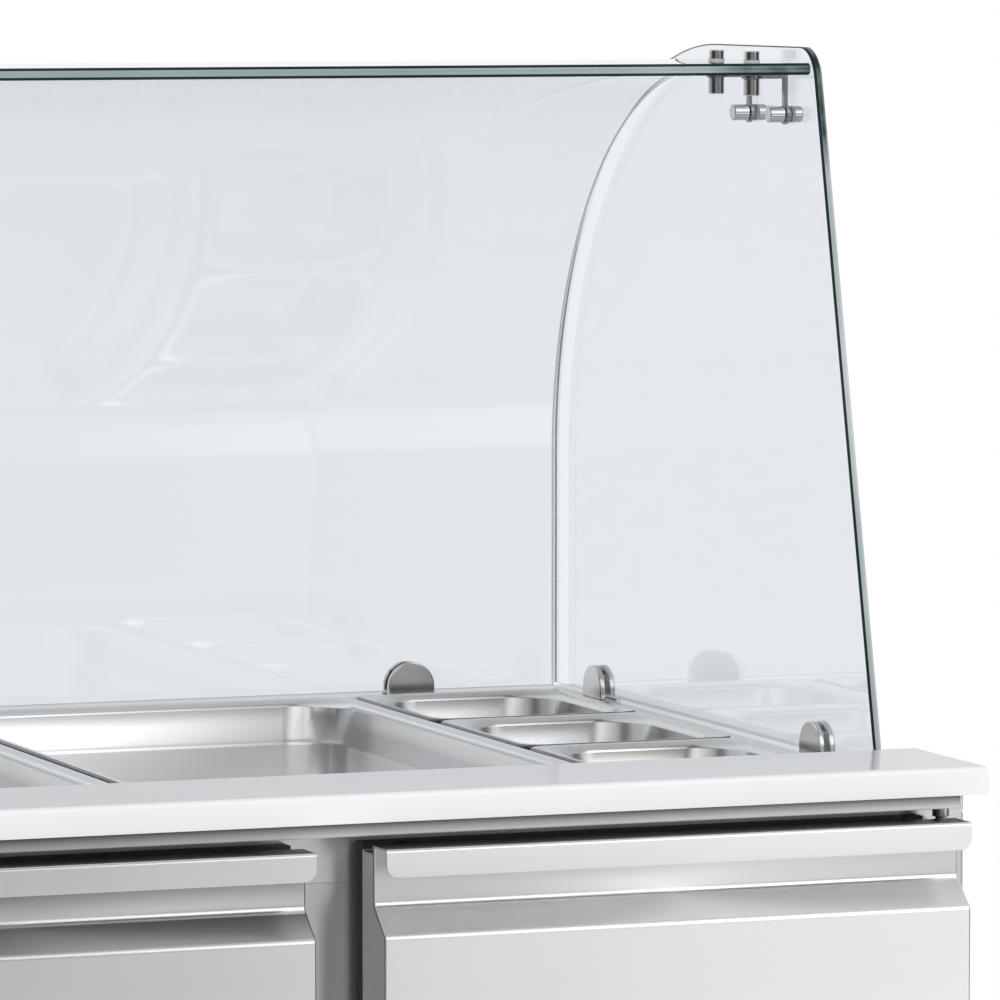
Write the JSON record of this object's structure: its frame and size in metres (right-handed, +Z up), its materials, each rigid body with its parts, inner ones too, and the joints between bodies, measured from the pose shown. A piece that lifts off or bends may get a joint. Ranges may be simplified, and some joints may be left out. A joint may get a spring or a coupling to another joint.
{
  "type": "saladette",
  "caption": "Refrigerated saladette counter: stainless cabinet with hinged doors, white worktop board, lift-out gastronorm pans and a bent glass canopy.",
  "frame": {"origin": "on the floor under the middle of the bounding box", "axes": "+Z up, +X to the operator right, +Y from the operator side to the customer side"},
  "size_m": [0.903, 0.752, 1.332],
  "materials": {
    "stainless": "brushed stainless sheet",
    "pan_steel": "bright rolled stainless",
    "satin_steel": "satin steel",
    "galvanised": "dull zinc-coated sheet",
    "white_board": "polished white",
    "glass": "clear, green at the edges",
    "clear_gasket": "soft translucent grey",
    "foam": "rigid foam",
    "door_plastic": "light grey, matt",
    "black_rubber": "matt black",
    "coated_wire": "light grey coating",
    "coil": "plain fins",
    "black_paint": "satin black",
    "black_plastic": "black, matt",
    "copper": "copper tube",
    "grey_plastic": "mid grey",
    "display": "dark red window",
    "switch_green": "translucent green",
    "foot_steel": "plated steel"
  },
  "bodies": {
    "cabinet": {"base_tray": "galvanised", "cable_gland": "black_plastic", "canopy_glass": "glass", "clamp_cheeks": "satin_steel", "clamp_screws": "satin_steel", "compressor": "black_paint", "condenser_coil": "coil", "condenser_motor": "black_paint", "condenser_shroud": "galvanised", "controller": "black_plastic", "controller_display": "display", "drip_tray": "grey_plastic", "evaporator_coil": "coil", "evaporator_cover": "stainless", "evaporator_motor": "black_paint", "foot_sockets": "galvanised", "front_frame": "stainless", "glass_gaskets": "clear_gasket", "hinge_brackets": "satin_steel", "inner_liner": "stainless", "insulation": "foam", "link_bars": "satin_steel", "link_sleeves": "satin_steel", "link_studs": "satin_steel", "lower_panel": "stainless", "pan_bars": "stainless", "panel_screws": "satin_steel", "rear_panel": "stainless", "refrigerant_pipes": "copper", "shelf_supports": "stainless", "shelves": "coated_wire", "side_glasses": "glass", "side_panels": "stainless", "switch_housing": "black_plastic", "top_rail": "stainless", "worktop_board": "white_board", "worktop_frame": "stainless"},
    "door_left": {"door_left_core": "foam", "door_left_gasket": "black_rubber", "door_left_liner": "door_plastic", "door_left_skin": "stainless"},
    "door_right": {"door_right_core": "foam", "door_right_gasket": "black_rubber", "door_right_liner": "door_plastic", "door_right_skin": "stainless"},
    "pan_left": {"pan_left": "pan_steel"},
    "pan_middle": {"pan_middle": "pan_steel"},
    "pan_sixth_front": {"pan_sixth_front": "pan_steel"},
    "pan_sixth_middle": {"pan_sixth_middle": "pan_steel"},
    "pan_sixth_rear": {"pan_sixth_rear": "pan_steel"},
    "evaporator_fan": {"evaporator_fan": "black_plastic"},
    "condenser_fan": {"condenser_fan": "black_plastic"},
    "button_set": {"button_set": "grey_plastic"},
    "button_up": {"button_up": "grey_plastic"},
    "button_down": {"button_down": "grey_plastic"},
    "switch_rocker": {"switch_rocker": "switch_green"},
    "foot_front_left": {"foot_front_left": "foot_steel"},
    "foot_front_right": {"foot_front_right": "foot_steel"},
    "foot_rear_left": {"foot_rear_left": "foot_steel"},
    "foot_rear_right": {"foot_rear_right": "foot_steel"}
  },
  "joints": [
    {"name": "door_right_swing", "type": "hinge", "parent": "cabinet", "child": "door_right", "pos_m": [0.4235, -0.341, 0.57], "axis": [0, 0, 1], "range_deg": [0, 95], "stiffness_Nm_per_rad": 0.6, "springref_deg": -2.86},
    {"name": "door_left_swing", "type": "hinge", "parent": "cabinet", "child": "door_left", "pos_m": [-0.4235, -0.341, 0.57], "axis": [0, 0, -1], "range_deg": [0, 95], "stiffness_Nm_per_rad": 0.6, "springref_deg": -2.86},
    {"name": "pan_left_lift", "type": "slide", "parent": "cabinet", "child": "pan_left", "axis": [0, 0, 1], "range_m": [0, 0.16]},
    {"name": "pan_middle_lift", "type": "slide", "parent": "cabinet", "child": "pan_middle", "axis": [0, 0, 1], "range_m": [0, 0.16]},
    {"name": "pan_sixth_front_lift", "type": "slide", "parent": "cabinet", "child": "pan_sixth_front", "axis": [0, 0, 1], "range_m": [0, 0.16]},
    {"name": "pan_sixth_middle_lift", "type": "slide", "parent": "cabinet", "child": "pan_sixth_middle", "axis": [0, 0, 1], "range_m": [0, 0.16]},
    {"name": "pan_sixth_rear_lift", "type": "slide", "parent": "cabinet", "child": "pan_sixth_rear", "axis": [0, 0, 1], "range_m": [0, 0.16]},
    {"name": "evaporator_fan_spin", "type": "hinge", "parent": "cabinet", "child": "evaporator_fan", "pos_m": [-0.08, 0.269, 0.645], "axis": [0, 1, 0], "continuous": true},
    {"name": "condenser_fan_spin", "type": "hinge", "parent": "cabinet", "child": "condenser_fan", "pos_m": [-0.225, -0.161, 0.187], "axis": [0, 1, 0], "continuous": true},
    {"name": "button_set_press", "type": "slide", "parent": "cabinet", "child": "button_set", "axis": [0, 1, 0], "range_m": [0, 0.001], "stiffness_N_per_m": 500, "springref_m": -0.0006},
    {"name": "button_up_press", "type": "slide", "parent": "cabinet", "child": "button_up", "axis": [0, 1, 0], "range_m": [0, 0.001], "stiffness_N_per_m": 500, "springref_m": -0.0006},
    {"name": "button_down_press", "type": "slide", "parent": "cabinet", "child": "button_down", "axis": [0, 1, 0], "range_m": [0, 0.001], "stiffness_N_per_m": 500, "springref_m": -0.0006},
    {"name": "switch_rock", "type": "hinge", "parent": "cabinet", "child": "switch_rocker", "pos_m": [0.225, -0.319, 0.215], "axis": [1, 0, 0], "range_deg": [0, 16]},
    {"name": "foot_front_left_level", "type": "slide", "parent": "cabinet", "child": "foot_front_left", "axis": [0, 0, -1], "range_m": [0, 0.02]},
    {"name": "foot_front_right_level", "type": "slide", "parent": "cabinet", "child": "foot_front_right", "axis": [0, 0, -1], "range_m": [0, 0.02]},
    {"name": "foot_rear_left_level", "type": "slide", "parent": "cabinet", "child": "foot_rear_left", "axis": [0, 0, -1], "range_m": [0, 0.02]},
    {"name": "foot_rear_right_level", "type": "slide", "parent": "cabinet", "child": "foot_rear_right", "axis": [0, 0, -1], "range_m": [0, 0.02]}
  ]
}
